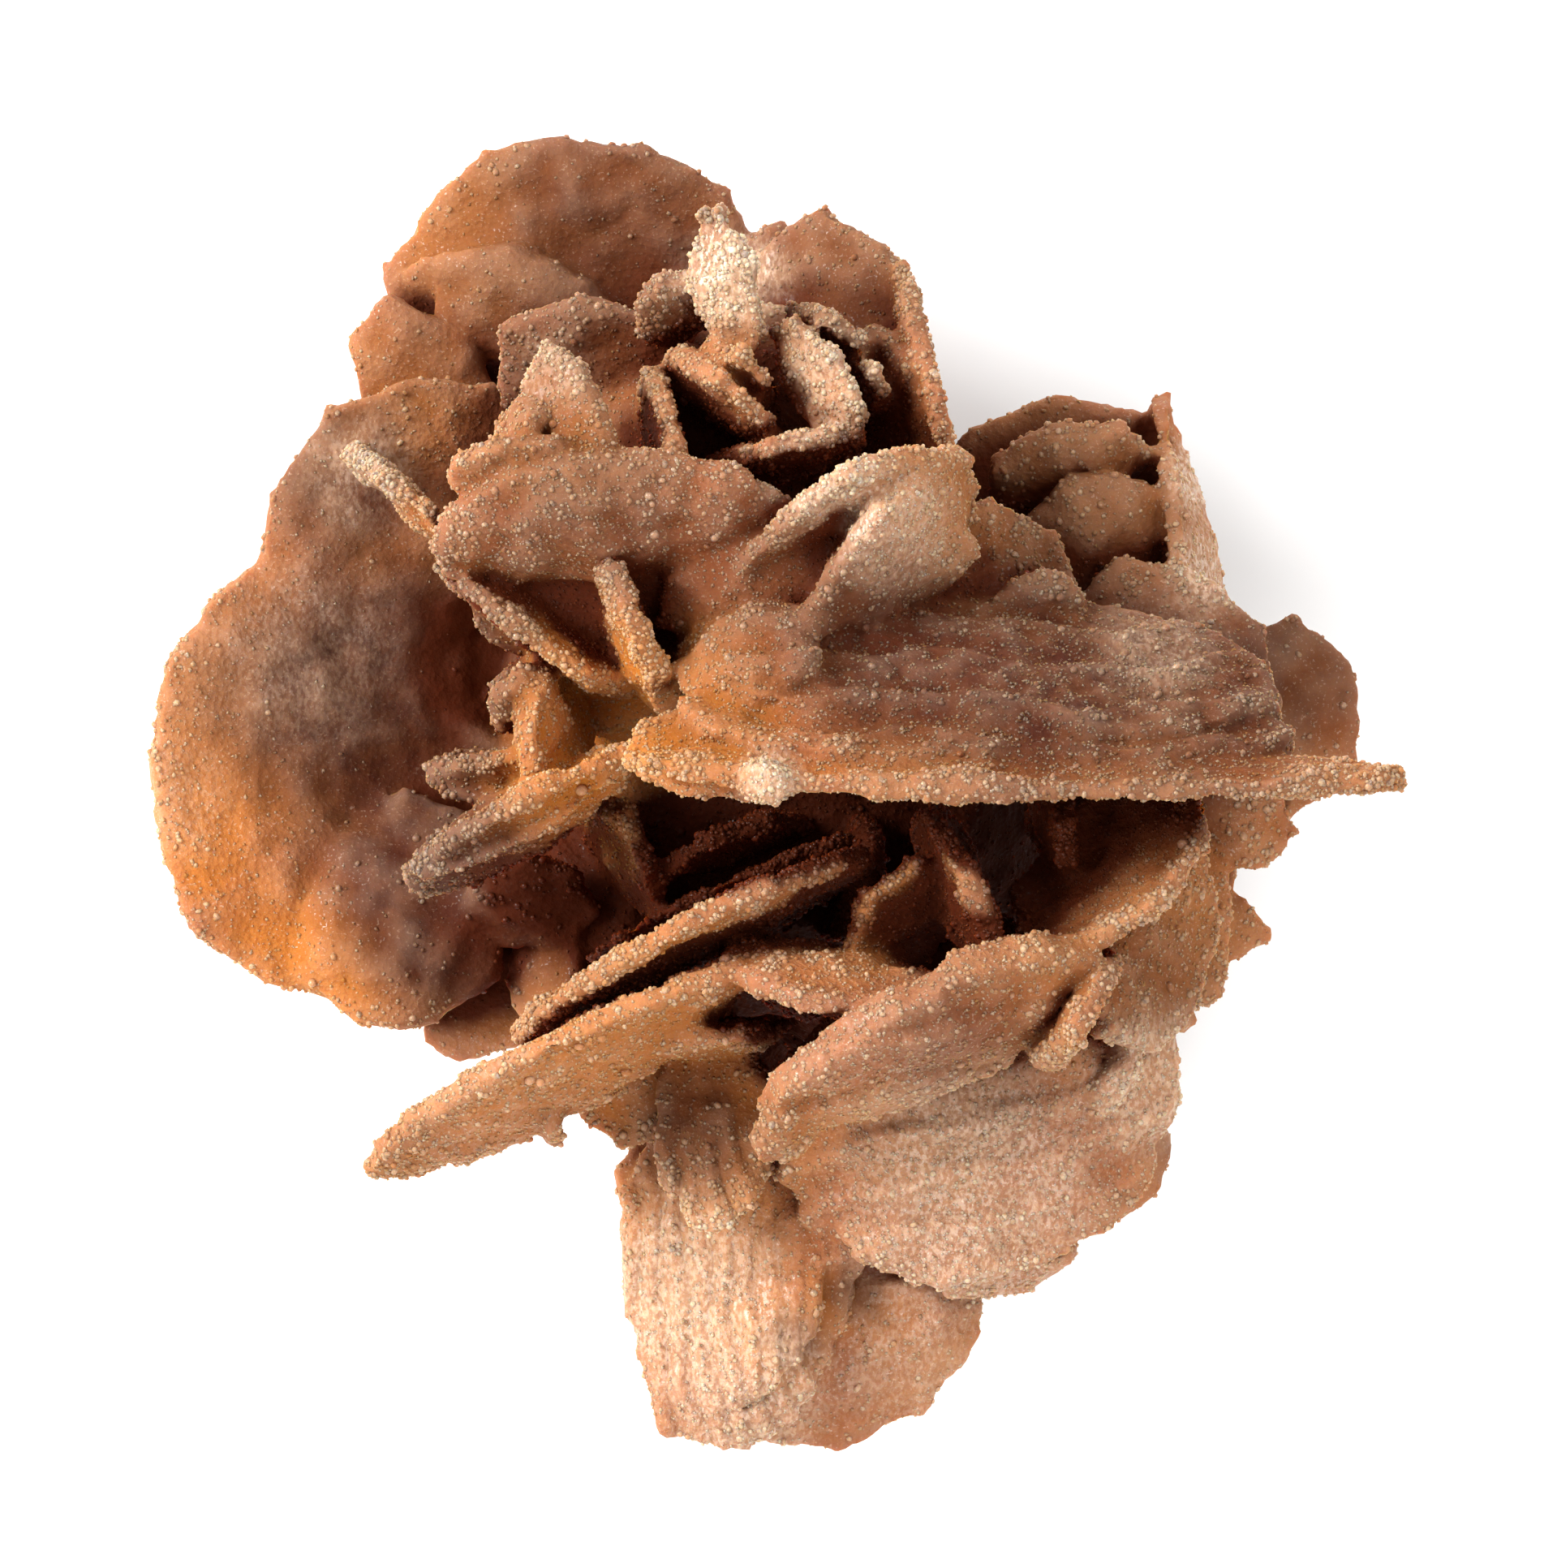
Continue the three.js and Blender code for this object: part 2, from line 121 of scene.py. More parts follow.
# Fine blades too thin for the solid's facets, in mm from the middle of the box at the floor: the two ends of
# the outer rim, the way from there into the cluster, and the thickness.
LEAVES = {
    "star_upper_arm": ((-21, 13.5, 31), (-9, 5, 32.5), (1.6, 2.4, -9), 1.9),
    "star_upper_mate": ((-11, 14.5, 32), (-7.5, 5.5, 34), (1.9, 0.5, -9), 2),
    "star_upright": ((-15, 9, 33), (-15, -0.5, 35), (3, 0.3, -9), 1.9),
    "star_left_barb": ((-21, -0.5, 29), (-13, -0.5, 30), (0.2, 3.5, -2.4), 1.6),
    "star_small_barb": ((-17.5, 6, 29), (-13.5, 9.5, 31), (1.4, -1.6, -4), 1.5),
    "star_long_arm": ((-21.5, -6.5, 33), (-7.5, 1, 36), (-1.2, 3.2, -4.5), 1.9),
    "bar_nose": ((-5, 7.5, 36.5), (1.5, 12, 36), (1.6, -3, -4), 3.2),
    "fan_back_blade": ((-11.5, -9.5, 27), (6.5, -1.5, 31), (0.8, -2, -8), 1.7),
    "fan_front_blade": ((-15, -13.5, 28), (6, -3, 33), (0.5, -2.6, -6), 1.8),
    "fan_cross_blade": ((-2, -9, 34.5), (8.5, -12.5, 37), (-0.4, -2, -6), 2.4),
    "fan_sail": ((4.5, -8.5, 30), (10.5, -3, 32), (2.6, -3.4, -2), 1.5),
    "fan_mast": ((9, -0.5, 32), (11.5, -10.5, 34), (3, 0.6, -8), 1.7),
    "fan_scoop": ((20.5, -10.5, 33), (26.5, -1, 34), (-4.6, 2.6, -6), 2.2),
    "fan_streak": ((16, -15.5, 32), (21, -9, 35), (0.8, -0.6, -6), 1.4),
    "fan_ledge": ((-10, -16, 30.5), (1.5, -15, 32), (0.3, 1.6, -7), 1.3),
    "apron_rib": ((20.5, -21.5, 29), (25, -11, 30), (-3, -1, -5), 2.2),
    "tail_step": ((0, -39.5, 23.5), (5.5, -29, 25), (-10, 2.4, -6), 3),
    "apron_hem": ((4, -29.5, 25.5), (16.5, -30.5, 24.5), (0.5, 7, 0.4), 2.2),
    "apron_corner": ((14, -31, 24.5), (25.5, -25, 25), (-3.4, 6, 0.4), 2.2),
    "bar_flake": ((-1, 2, 44), (1.5, 2, 45), (-0.2, -2.6, 0.2), 2),
    "tail_nub": ((-9, -24, 22), (-7.5, -27.5, 21), (2, 0.6, -5), 2),
    "crown_fold": ((-23.5, 34.5, 17), (-13, 34, 19), (0.6, -4, -4), 2),
}
# Faces with fine growth layers, in mm: the middle of the face, its half sizes, the lowest place that belongs
# to it, the way across the layers, the distance between them, and the share of the usual step.
LAYERS = {
    "bar": {
        "middle": (16, 6.5), "half": (21, 6), "above": 28, "across": (0, 1), "apart": 2.4, "share": 1.0,
    },
    "tail": {
        "middle": (-3, -31), "half": (8, 12), "above": 16, "across": (1, 0.15), "apart": 1.5, "share": 1.1,
    },
    "apron": {
        "middle": (13, -22), "half": (14, 11), "above": 19, "across": (-0.3, 1), "apart": 3.3, "share": 1.6,
    },
}
# The sizes of the patterns that wear the surface, in mm.
PATTERNS = {"waves": 7, "swells": 3.2, "lumps": 1.5, "scallops": 1.1, "grit": 0.55, "chips": 1.5}
# How fine the colour and bump patterns are, per metre.
FINENESS = {"patches": 85.0, "blotches": 420.0, "flecks": 3600.0, "cells": 2300.0, "specks": 5200.0}
# A worn grain's three radii and its smallest and largest size, as shares of its usual size, and how far the
# sizes differ.
GRAIN = {"radii": (1.15, 0.95, 0.85), "range": (0.55, 1.7), "spread": 0.22}
# The studio's lamps: where each stands from the middle of the rose and its edge, in metres, and its power.
LAMPS = {
    "key": ((-0.4, 0.16, 0.3), 0.3, 6.2),
    "low_fill": ((0.0, -0.36, 0.4), 0.4, 2.4),
    "high_fill": ((0.3, 0.26, 0.4), 0.4, 2.0),
}
SKY = {"Color": (1.0, 0.985, 0.965, 1.0), "Strength": 0.55}


# Sizes and colours that a user would change.
def length(name, description, default):
    return FloatProperty(
        name=name, description=description, default=default, min=0, unit="LENGTH", precision=5
    )


def colour(name, description, default):
    return FloatVectorProperty(
        name=name, description=description, default=default, min=0, max=1, size=3, subtype="COLOR"
    )


class SandRoseSizes(PropertyGroup):
    voxel: length("Voxel", "Edge of the cells that the grown-together surface is made from", 0.3 * MM)
    wave: length("Wave", "How far the broad faces swell and sink", 1.0 * MM)
    lump: length("Lump", "How far the sandy lumps stand out", 0.5 * MM)
    scallop: length("Scallop", "How far the rims are scalloped", 0.7 * MM)
    chip: length("Chip", "How far the flaked chips stand out of the front bar's face", 0.5 * MM)
    grit: length("Grit", "How far single grains roughen the faces", 0.12 * MM)
    layer: length("Layer", "How far the growth layers stand out", 0.45 * MM)
    triangles: IntProperty(
        name="Triangles", description="The most triangles the crystals keep", default=196000, min=1000
    )
    bead: length("Bead", "Usual radius of a sand grain on a blade's rim", 0.18 * MM)
    sugar: length("Sugar", "Usual radius of a sand grain on a face", 0.11 * MM)
    crumb: length("Crumb", "Usual radius of a loose crumb lying in a hollow", 0.22 * MM)
    beads: IntProperty(
        name="Beads", description="How many grains each set of rim beads has", default=9900, min=1
    )
    sugars: IntProperty(
        name="Sugar grains", description="How many grains each set on the faces has", default=24000, min=1
    )
    crumbs: IntProperty(name="Crumbs", description="How many crumbs lie on the blades", default=160, min=1)


class SandRoseColours(PropertyGroup):
    tan: colour("Tan", "Sandy faces", (0.295, 0.105, 0.032))
    peach: colour("Peach", "Cleaner, pinker faces", (0.24, 0.072, 0.024))
    # Partly the thick plates' own mauve, partly painted shade in their shadowed middles and under the blades.
    mauve_and_shade: colour("Mauve", "The thick middle of the broad outer plates", (0.049, 0.0105, 0.0045))
    # Painted glow of the light that comes through thin blades.
    amber_glow: colour("Amber", "Thin blades that let light through", (0.39, 0.12, 0.016))
    # Painted shade: the dark brown put where the blades hide the sky, deep between them.
    hollow_shade: colour("Hollow", "Deep between the blades", (0.065, 0.011, 0.0026))
    # Pale dust, paler rims and grains, and the painted glints of the sparkling specks.
    frost_and_glint: colour("Frost", "Pale worn rims and glinting grains", (0.58, 0.40, 0.27))
    floor: colour("Floor", "The pale floor", (0.86, 0.86, 0.86))


# Shader maths as Python expressions.
class Wire:
    """A shader socket that works in expressions: each operation adds its Math node."""

    def __init__(self, tree, socket=None):
        self.tree = tree
        self.socket = socket

    def node(self, kind, settings=None, inputs=None, output=0):
        """Adds a node: its settings are set first, then its inputs' values or links. Returns one output."""
        node = self.tree.nodes.new(kind)
        for key, value in (settings or {}).items():
            setattr(node, key, value)
        for key, value in (inputs or {}).items():
            if isinstance(value, Wire):
                self.tree.links.new(value.socket, node.inputs[key])
            else:
                node.inputs[key].default_value = value
        return Wire(self.tree, node.outputs[output] if len(node.outputs) else None)

    def math(self, operation, first, second=0.0):
        return self.node("ShaderNodeMath", {"operation": operation}, {0: first, 1: second})

    def __add__(self, other):
        return self.math("ADD", self, other)

    def __sub__(self, other):
        return self.math("SUBTRACT", self, other)

    def __rsub__(self, other):
        return self.math("SUBTRACT", other, self)

    def __mul__(self, other):
        return self.math("MULTIPLY", self, other)

    __radd__ = __add__
    __rmul__ = __mul__

    def step(self, low, high):
        """0 below low, 1 above high, and smooth between."""
        inputs = {"Value": self, "From Min": low, "From Max": high}
        return self.node("ShaderNodeMapRange", {"interpolation_type": "SMOOTHSTEP"}, inputs)

    def tint(self, base, top):
        """Mixes from base to top as this value goes from 0 to 1."""
        inputs = {"Factor": self, 6: rgba(base), 7: rgba(top)}
        return self.node("ShaderNodeMix", {"data_type": "RGBA"}, inputs, output=2)


def rgba(value):
    return value if isinstance(value, Wire) else (*value, 1.0)


# Objects and modifiers.
def select_only(thing):
    bpy.ops.object.select_all(action="DESELECT")
    bpy.context.view_layer.objects.active = thing
    thing.select_set(True)


def modify(thing, kind, **settings):
    """Adds a modifier with these settings and applies it."""
    modifier = thing.modifiers.new(kind.lower(), kind)
    for key, value in settings.items():
        setattr(modifier, key, value)
    select_only(thing)
    bpy.ops.object.modifier_apply(modifier=modifier.name)


def texture(name, kind, **settings):
    made = bpy.data.textures.new(name, kind)
    made.noise_scale = PATTERNS[name] * MM
    for key, value in settings.items():
        setattr(made, key, value)
    return made


def displace(thing, pattern, strength, group=""):
    modify(
        thing, "DISPLACE", texture=pattern, texture_coords="LOCAL", strength=strength, mid_level=0.5,
        vertex_group=group,
    )


def finish_piece(piece, material, replaced=None):
    piece.data.materials.clear()
    piece.data.materials.append(material)
    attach(piece, BODY)
    if replaced:
        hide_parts(replaced)


# The surface as arrays: where it bulges, where it is thin and where it lies deep.
def vertex_array(mesh, what):
    values = np.empty(len(mesh.vertices) * 3)
    mesh.vertices.foreach_get(what, values)
    return values.reshape(-1, 3)


def neighbours_mean(mesh, values, rounds):
    """Values at the vertices, averaged with their neighbours' this many times."""
    ends = np.empty(len(mesh.edges) * 2, dtype=np.int64)
    mesh.edges.foreach_get("vertices", ends)
    first, second = ends.reshape(-1, 2).T
    values = np.array(values, dtype=float).reshape(len(mesh.vertices), -1)
    count = np.bincount(ends, minlength=len(values))[:, None] + 1.0
    for _ in range(rounds):
        total = values.copy()
        for column in range(values.shape[1]):
            total[:, column] += np.bincount(first, values[second, column], len(values))
            total[:, column] += np.bincount(second, values[first, column], len(values))
        values = total / count
    return values


def smooth_step(values, low, high):
    share = np.clip((values - low) / (high - low), 0, 1)
    return share * share * (3 - 2 * share)


def bulge(mesh, rounds):
    """How far each vertex stands out of its averaged surroundings, in metres."""
    places = vertex_array(mesh, "co")
    return ((places - neighbours_mean(mesh, places, rounds)) * vertex_array(mesh, "normal")).sum(axis=1)


def tree_of(thing):
    return BVHTree.FromObject(thing, bpy.context.evaluated_depsgraph_get())


def thickness(mesh, tree, most):
    """How thick the stone is under each vertex, up to most."""
    skin = 0.05 * MM
    deep = np.full(len(mesh.vertices), most)
    for index, vertex in enumerate(mesh.vertices):
        inward = -vertex.normal
        distance = tree.ray_cast(vertex.co + inward * skin, inward, most)[3]
        if distance is not None:
            deep[index] = distance
    return neighbours_mean(mesh, deep, 4)[:, 0]


def cover(mesh, tree, reach, rays=14):
    """The share of the open sky over each vertex that other crystals hide, nearer ones counting for more."""
    turn = math.pi * (3 - math.sqrt(5))
    sky = []
    for index in range(rays):
        up = 1 - (index + 0.5) / rays
        flat = math.sqrt(1 - up * up)
        sky.append(Vector((flat * math.cos(index * turn), flat * math.sin(index * turn), up)))
    lift = 0.3 * MM
    hidden = np.zeros(len(mesh.vertices))
    for index, vertex in enumerate(mesh.vertices):
        normal = vertex.normal
        start = vertex.co + normal * lift
        total = 0.0
        weight = 0.0
        for ray in sky:
            facing = ray.dot(normal)
            if facing <= 0:
                ray = ray - 2 * facing * normal
                facing = -facing
            weight += facing
            distance = tree.ray_cast(start, ray, reach)[3]
            if distance is not None:
                total += facing * (1 - 0.6 * distance / reach)
        hidden[index] = total / max(weight, 1e-6)
    return neighbours_mean(mesh, hidden, 2)[:, 0]


def from_middle(places, x, y):
    """Each place's x and y in mm, from the point that is x and y mm from the middle of the box."""
    middle = (LOW + HIGH) / 2
    return (places[:, 0] - middle.x) / MM - x, (places[:, 1] - middle.y) / MM - y


def share_of_height(places):
    return (places[:, 2] - LOW.z) / HEIGHT


def spot_cover(places, spots):
    """How strongly these soft round marks cover each place."""
    full = 0.35  # a mark has its full strength up to this share of its radius
    gone = 1.25  # and has gone at this one
    bare = np.ones(len(places))
    for x, y, radius, strength in spots:
        away = np.hypot(*from_middle(places, x, y)) / radius
        bare *= 1 - strength * (1 - smooth_step(away, full, gone))
    return 1 - bare


def keep_attribute(mesh, name, values):
    attribute = mesh.attributes.new(name, "FLOAT", "POINT")
    attribute.data.foreach_set("value", values.astype(np.float32))


def read_attribute(mesh, name):
    values = np.empty(len(mesh.vertices), dtype=np.float32)
    mesh.attributes[name].data.foreach_get("value", values)
    return values


def weight_group(thing, name, values):
    """A vertex group from values, in a few dozen steps."""
    group = thing.vertex_groups.new(name=name)
    steps = 32
    level = np.round(np.clip(values, 0, 1) * steps).astype(int)
    for step in range(1, steps + 1):
        chosen = np.flatnonzero(level == step)
        if len(chosen):
            group.add(chosen.tolist(), step / steps, "REPLACE")
    return name


def layer_steps(places, face):
    """How much each place belongs to a layered face, and how far its layers stand out there, up to 1 each."""
    x, y = from_middle(places, *face["middle"])
    inside = np.hypot(x / face["half"][0], y / face["half"][1])
    above = (places[:, 2] - LOW.z) / (face["above"] * MM)
    belongs = (1 - smooth_step(inside, 0.8, 1.1)) * smooth_step(above, 0.9, 1.1)
    across = face["across"][0] * x + face["across"][1] * y
    along = face["across"][1] * x - face["across"][0] * y
    wander = 0.35 * np.sin(along / 3.1) + 0.25 * np.sin(along / 1.3 + across) + 0.5 * np.sin(along / 8 + 1)
    phase = (across + wander) / face["apart"] % 1
    return belongs, belongs * (phase - smooth_step(phase, 0.75, 1))


# Materials.
def gypsum_fields(wire):
    """The patterns of the stone: (broad patches, blotches, drawn-out flecks, grains, specks)."""
    place = wire.node("ShaderNodeTexCoord", output="Object")

    def noise(name, vector=place):
        inputs = {"Vector": vector, "Scale": FINENESS[name], "Detail": 2.0, "Roughness": 0.55}
        return wire.node("ShaderNodeTexNoise", {}, inputs)

    drawn_out = wire.node("ShaderNodeVectorMath", {"operation": "MULTIPLY"}, {0: place, 1: (1.0, 0.6, 0.6)})
    sizes = {"Vector": place, "Scale": FINENESS["cells"], "Randomness": 1.0}
    cells = wire.node("ShaderNodeTexVoronoi", {}, sizes)
    return noise("patches"), noise("blotches"), noise("flecks", drawn_out), cells, noise("specks")


def surface(wire, base, roughness, glint, bump, bump_distance):
    """The shader of sandy gypsum: matt, with light scattered a little way into it and glinting grains."""
    normal = wire.node("ShaderNodeBump", {}, {"Height": bump, "Distance": bump_distance, "Strength": 1.0})
    inputs = {
        "Base Color": base,
        "Roughness": roughness,
        "Normal": normal,
        "Subsurface Weight": 0.4,
        "Subsurface Scale": 2.0 * MM,
        "Subsurface Radius": (1.0, 0.38, 0.1),
        "Specular IOR Level": 0.08,
        "Coat Weight": glint,
        "Coat Roughness": 0.18,
    }
    shader = wire.node("ShaderNodeBsdfPrincipled", {}, inputs)
    wire.node("ShaderNodeOutputMaterial", {}, {"Surface": shader})


def new_material(name):
    material = bpy.data.materials.new(name)
    material.use_nodes = True
    material.node_tree.nodes.clear()
    return material, Wire(material.node_tree)


def sandy_gypsum(colours):
    """Tan faces, purple-brown thick plates with painted shade, painted orange glow in thin blades, painted
    brown shade in the hollows, pale dust with painted glints, and grains each in its own shade.
    """
    material, wire = new_material("sandy_gypsum")
    patches, blotches, flecks, cells, specks = gypsum_fields(wire)

    def painted(name):
        return wire.node("ShaderNodeAttribute", {"attribute_name": name}, output="Fac")

    thin, hidden, rim, plate_and_shade, glow, deep, dust, shade = (painted(name) for name in SURVEY)
    face = patches.step(0.38, 0.62).tint(colours.tan, colours.peach)
    # Painted glow: amber where light comes through the thin blades and at the glow spots.
    face = (glow * 0.85 + 0.35 * thin * patches.step(0.35, 0.6)).tint(face, colours.amber_glow)
    # Mauve middles of the thick plates, partly their own colour and partly painted shade.
    face = (plate_and_shade * (0.82 + 0.18 * blotches.step(0.3, 0.7))).tint(face, colours.mauve_and_shade)
    # Real pale dust, the painted glints of the sparkling specks, paler rims, and each grain's own paler
    # shade.
    pale = dust * (0.3 + 0.45 * flecks.step(0.4, 0.65)) + 0.3 * specks.step(0.6, 0.7) * (1 - 0.6 * plate_and_shade)
    face = (pale + 0.12 * rim + 0.36 * shade * (1 - 0.5 * plate_and_shade)).tint(face, colours.frost_and_glint)
    # Painted shade: covered places, and the deep hollows more, are darkened towards the hollow brown, held
    # back where the glow is painted.
    base = (hidden * (1 + 0.9 * deep) - 0.45 * glow).step(0.2, 0.6).tint(face, colours.hollow_shade)
    roughness = 0.75 - 0.3 * specks.step(0.6, 0.72) - 0.3 * shade
    bump = (1 - 0.6 * plate_and_shade) * (0.5 * cells + 0.4 * specks)
    glitter = 0.5 * specks.step(0.58, 0.7) * (1 - 0.6 * plate_and_shade)
    glint = (1 - hidden) * (glitter + 0.6 * dust * flecks.step(0.45, 0.6) + 0.6 * shade)
    surface(wire, base, roughness, glint, bump, 0.22 * MM)
    return material


# The crystals.
def lens_shape():
    """A flat round lens of radius 1, half thickness 1 and a sharp rim: (corners, faces)."""
    bpy.ops.object.select_all(action="DESELECT")
    bpy.ops.mesh.primitive_ico_sphere_add(subdivisions=4, radius=1, location=(0, 0, 0))
    ball = bpy.context.active_object
    corners = vertex_array(ball.data, "co")
    corners[:, 2] *= np.abs(corners[:, 2]) ** 0.5
    faces = [list(face.vertices) for face in ball.data.polygons]
    bpy.data.objects.remove(ball)
    return corners, faces


class SANDROSE_OT_crystals(Operator):
    """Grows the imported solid's faceted crystals together into worn, sandy gypsum"""

    bl_idname = "sandrose.crystals"
    bl_label = "Crystals"

    def execute(self, context):
        sizes = context.scene.sand_rose_sizes
        mesh = frame["nodes"]["rose"].data.copy()
        cluster = bpy.data.objects.new(CLUSTER, mesh)
        context.collection.objects.link(cluster)
        select_only(cluster)
        bpy.ops.object.mode_set(mode="EDIT")
        bpy.ops.mesh.select_all(action="SELECT")
        bpy.ops.mesh.remove_doubles(threshold=0.001 * MM)
        bpy.ops.object.mode_set(mode="OBJECT")
        self.add_leaves(cluster)
        modify(cluster, "REMESH", mode="VOXEL", voxel_size=sizes.voxel)
        self.wear(cluster, sizes)
        share = sizes.triangles / (2 * len(cluster.data.polygons))
        if share < 1:
            modify(cluster, "DECIMATE", ratio=share)
        modify(cluster, "TRIANGULATE")
        self.drop_specks(cluster)
        self.stand_flat(cluster)
        bpy.ops.object.shade_smooth()
        self.survey(cluster)
        finish_piece(cluster, sandy_gypsum(context.scene.sand_rose_colours), "rose")
        return {"FINISHED"}

    def add_leaves(self, cluster):
        """Joins the fine blades to the cluster: each is a flat lens with a sharp rim."""
        lens = lens_shape()
        floor_middle = np.array([(LOW.x + HIGH.x) / 2, (LOW.y + HIGH.y) / 2, LOW.z])
        made = []
        for name, (start, end, into, thick) in LEAVES.items():
            start = Vector(start)
            end = Vector(end)
            into = Vector(into)
            along = (end - start) * 0.5
            across = into * 0.5
            up = along.cross(across).normalized() * thick * 0.5
            middle = (start + end) * 0.5 + across
            turned = lens[0] @ np.array([along, across, up]) + np.array(middle)
            blade = bpy.data.meshes.new(name)
            blade.from_pydata(turned * MM + floor_middle, [], lens[1])
            made.append(bpy.data.objects.new(name, blade))
            bpy.context.collection.objects.link(made[-1])
        select_only(cluster)
        for blade in made:
            blade.select_set(True)
        bpy.ops.object.join()

    def wear(self, cluster, sizes):
        """Softens the crystals' facets, swells their faces and scallops their rims."""
        mesh = cluster.data
        rim = smooth_step(bulge(mesh, 8), 0.06 * MM, 0.22 * MM)
        rim = np.clip(neighbours_mean(mesh, rim, 3)[:, 0] * 1.5, 0, 1)
        ground = smooth_step(vertex_array(mesh, "co")[:, 2], 0.3 * MM, 2.5 * MM)
        rims = weight_group(cluster, "rims", rim * ground)
        above = weight_group(cluster, "above", ground)
        broad = weight_group(cluster, "broad", ground * (1 - 0.7 * rim))
        modify(cluster, "SMOOTH", factor=0.5, iterations=4, vertex_group=broad)
        displace(cluster, texture("waves", "CLOUDS"), sizes.wave, broad)
        displace(cluster, texture("swells", "CLOUDS", noise_depth=1), 0.8 * sizes.wave, broad)
        displace(cluster, texture("lumps", "CLOUDS", noise_depth=2), sizes.lump, above)
        displace(cluster, texture("scallops", "CLOUDS", noise_depth=1), sizes.scallop, rims)
        displace(cluster, texture("grit", "VORONOI"), -sizes.grit, above)
        self.layer(cluster, sizes)

    def layer(self, cluster, sizes):
        """Raises the growth layers out of their faces, and flakes chips off the front bar's."""
        mesh = cluster.data
        places = vertex_array(mesh, "co")
        layered = {name: layer_steps(places, face) for name, face in LAYERS.items()}
        relief = sum(steps * LAYERS[name]["share"] for name, (belongs, steps) in layered.items())
        places += vertex_array(mesh, "normal") * (relief * sizes.layer)[:, None]
        mesh.vertices.foreach_set("co", places.ravel())
        mesh.update()
        bar = weight_group(cluster, "bar", layered["bar"][0])
        chips = texture("chips", "VORONOI", weight_1=-1.0, weight_2=1.0)
        displace(cluster, chips, sizes.chip, bar)

    def drop_specks(self, cluster):
        """Removes what isn't joined to the highest crystal."""
        mesh = cluster.data
        select_only(cluster)
        bpy.ops.object.mode_set(mode="EDIT")
        bpy.ops.mesh.select_all(action="DESELECT")
        bpy.ops.object.mode_set(mode="OBJECT")
        mesh.vertices[int(np.argmax(vertex_array(mesh, "co")[:, 2]))].select = True
        bpy.ops.object.mode_set(mode="EDIT")
        bpy.ops.mesh.select_linked()
        bpy.ops.mesh.select_all(action="INVERT")
        bpy.ops.mesh.delete(type="VERT")
        bpy.ops.object.mode_set(mode="OBJECT")

    def stand_flat(self, cluster):
        """Presses whatever sank under the floor back onto it."""
        places = vertex_array(cluster.data, "co")
        places[:, 2] = np.maximum(places[:, 2], LOW.z)
        cluster.data.vertices.foreach_set("co", places.ravel())
        cluster.data.update()

    def survey(self, cluster):
        """Keeps what the materials and grains need to know about each place."""
        mesh = cluster.data
        tree = tree_of(cluster)
        places = vertex_array(mesh, "co")
        deep = thickness(mesh, tree, 9 * MM)
        rim = smooth_step(bulge(mesh, 6), 0.02 * MM, 0.16 * MM)
        # How thin the stone is; the material paints the glow of light coming through where it is thin.
        keep_attribute(mesh, "thin", 1 - smooth_step(deep, 1.2 * MM, 4.2 * MM))
        # The covered share, which the material turns into painted shade.
        keep_attribute(mesh, "hidden", cover(mesh, tree, 22 * MM))
        keep_attribute(mesh, "rim", neighbours_mean(mesh, rim, 1)[:, 0])
        front = smooth_step(share_of_height(places), 0.05, 0.25)
        for name, spots in STAINS_SHADE_AND_GLOW.items():
            keep_attribute(mesh, name, spot_cover(places, spots) * front)
        keep_attribute(mesh, "shade", np.zeros(len(places)))


# The sand.
def scatter(mesh, chance, count, draws):
    """Draws count places on the mesh, by the vertices' chance: (points, normals, triangle corners)."""
    mesh.calc_loop_triangles()
    corners = np.empty(len(mesh.loop_triangles) * 3, dtype=np.int64)
    mesh.loop_triangles.foreach_get("vertices", corners)
    corners = corners.reshape(-1, 3)
    places = vertex_array(mesh, "co")
    normals = vertex_array(mesh, "normal")
    a, b, c = (places[corners[:, k]] for k in range(3))
    area = np.linalg.norm(np.cross(b - a, c - a), axis=1)
    weight = area * chance[corners].mean(axis=1)
    chosen = draws.choice(len(corners), count, p=weight / weight.sum())
    mix = draws.dirichlet((1, 1, 1), count)
    picked = corners[chosen]
    points = (places[picked] * mix[:, :, None]).sum(axis=1)
    ups = (normals[picked] * mix[:, :, None]).sum(axis=1)
    return points, ups / np.linalg.norm(ups, axis=1)[:, None], picked


def turns(count, draws):
    """Random rotation matrices, evenly spread."""
    q = draws.normal(size=(count, 4))
    w, x, y, z = (q / np.linalg.norm(q, axis=1)[:, None]).T
    rows = [
        [1 - 2 * (y * y + z * z), 2 * (x * y - z * w), 2 * (x * z + y * w)],
        [2 * (x * y + z * w), 1 - 2 * (x * x + z * z), 2 * (y * z - x * w)],
        [2 * (x * z - y * w), 2 * (y * z + x * w), 1 - 2 * (x * x + y * y)],
    ]
    return np.array(rows).transpose(2, 0, 1)


def grain_shape(roundness):
    """One worn grain, with 8 faces at roundness 0, 20 at 1 and 80 at 2: (corners about its middle, faces)."""
    bpy.ops.object.select_all(action="DESELECT")
    if roundness:
        bpy.ops.mesh.primitive_ico_sphere_add(subdivisions=roundness, radius=1, location=(0, 0, 0))
    else:
        bpy.ops.mesh.primitive_cone_add(vertices=4, radius1=1, depth=1, end_fill_type="NOTHING")
        bpy.ops.object.mode_set(mode="EDIT")
        bpy.ops.transform.translate(value=(0, 0, 0.5))
        bpy.ops.object.mode_set(mode="OBJECT")
        modify(bpy.context.active_object, "MIRROR", use_axis=(False, False, True))
    grain = bpy.context.active_object
    bpy.ops.object.mode_set(mode="EDIT")
    bpy.ops.mesh.select_all(action="SELECT")
    bpy.ops.transform.resize(value=GRAIN["radii"])
    bpy.ops.object.mode_set(mode="OBJECT")
    corners = vertex_array(grain.data, "co")
    faces = np.array([list(face.vertices) for face in grain.data.polygons])
    bpy.data.objects.remove(grain)
    return corners, faces


